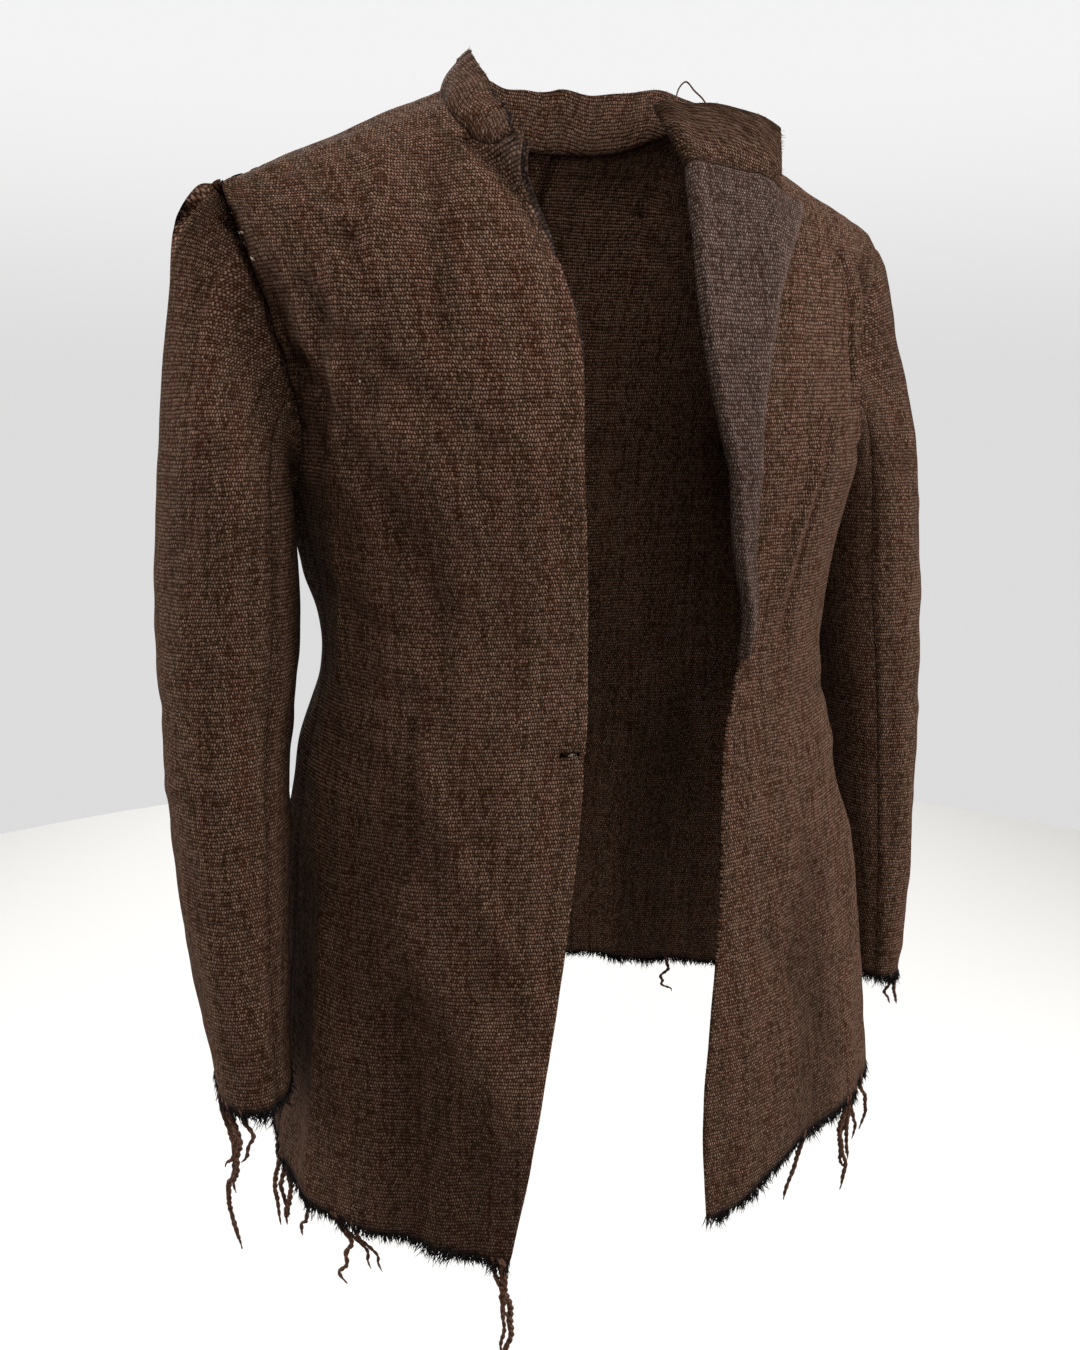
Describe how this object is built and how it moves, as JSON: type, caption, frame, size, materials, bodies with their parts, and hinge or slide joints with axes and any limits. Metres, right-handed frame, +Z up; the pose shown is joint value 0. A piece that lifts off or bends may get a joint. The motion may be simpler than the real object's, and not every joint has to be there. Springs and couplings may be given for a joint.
{
  "type": "military jacket",
  "caption": "Long raw-edged wool jacket, worn open in front, with a stand collar, one turned-back lapel, shaped two-piece sleeves and frayed hems.",
  "frame": {"origin": "midway between the two neck points of the shoulder seams, where the garment hangs from the shoulders", "axes": "+Z up along the body, +Y towards the back, +X towards the wearer's left; the front faces -Y"},
  "size_m": [0.5923, 0.3492, 0.8598],
  "materials": {
    "wool": "coarse reddish-brown wool with crinkled ribs",
    "facing": "the same wool, greyer and finer",
    "fray": "near-black frayed yarn ends"
  },
  "bodies": {
    "root": {"front_right": "wool", "front_left": "wool", "back_right": "wool", "back_left": "wool", "facing_right": "facing", "lapel_left": "facing", "collar": "wool", "top_sleeve_right": "wool", "under_sleeve_right": "wool", "top_sleeve_left": "wool", "under_sleeve_left": "wool", "hem_fringe_front_right": "fray", "hem_fringe_front_left": "fray", "hem_fringe_back_right": "fray", "hem_fringe_back_left": "fray", "cuff_fringe_right": "fray", "cuff_fringe_left": "fray"}
  },
  "joints": []
}
